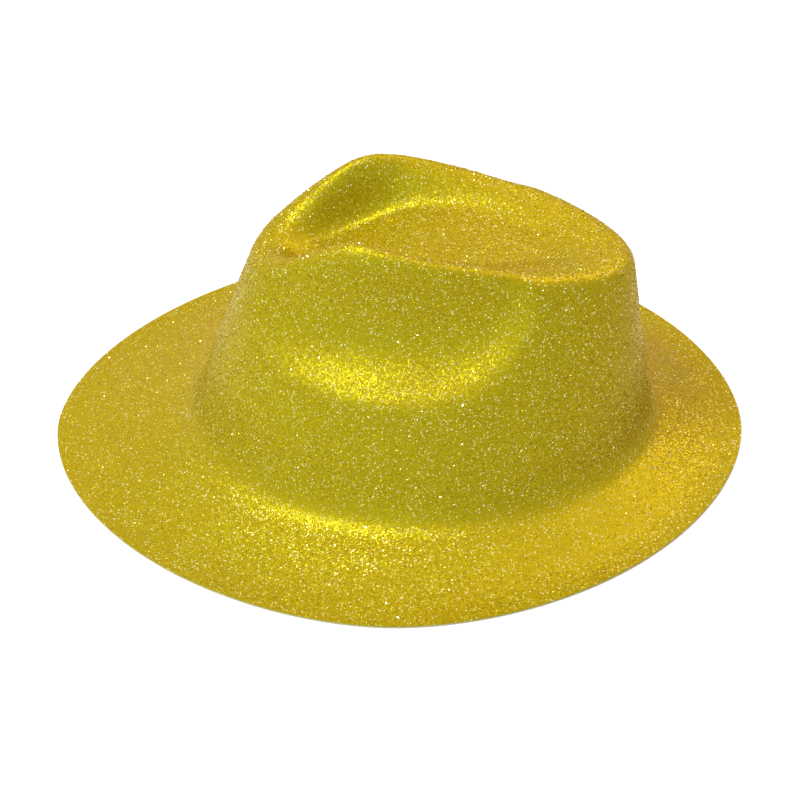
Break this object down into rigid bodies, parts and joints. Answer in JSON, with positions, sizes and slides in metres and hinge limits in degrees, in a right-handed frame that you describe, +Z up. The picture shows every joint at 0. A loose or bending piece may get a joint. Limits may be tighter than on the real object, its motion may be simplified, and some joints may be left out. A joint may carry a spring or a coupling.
{
  "type": "party hat",
  "caption": "Gold glitter fedora party hat: a thin formed shell with crown and brim in one, a glitter coat over it and a taped fabric sweatband inside.",
  "frame": {"origin": "middle of the brim's box, on the plane that the brim rests on", "axes": "+Z up through the crown, +Y to the back of the hat, +X to one side"},
  "size_m": [0.2796, 0.315, 0.1265],
  "materials": {
    "ivory_plastic": "thin vacuum-formed sheet, pale ivory, satin on the inside with a raw cut edge",
    "gold_glitter": "fine gold glitter flakes bonded over the whole outside, sparkling",
    "band_fabric": "soft dark brushed knit on thin foam",
    "adhesive_tape": "pale double-sided tape",
    "ribbon_tape": "dark ribbed ribbon"
  },
  "bodies": {
    "root": {"hat_shell": "ivory_plastic", "glitter_coat": "gold_glitter", "sweatband": "band_fabric", "sweatband_tape": "adhesive_tape", "sweatband_tab": "ribbon_tape"}
  },
  "joints": []
}
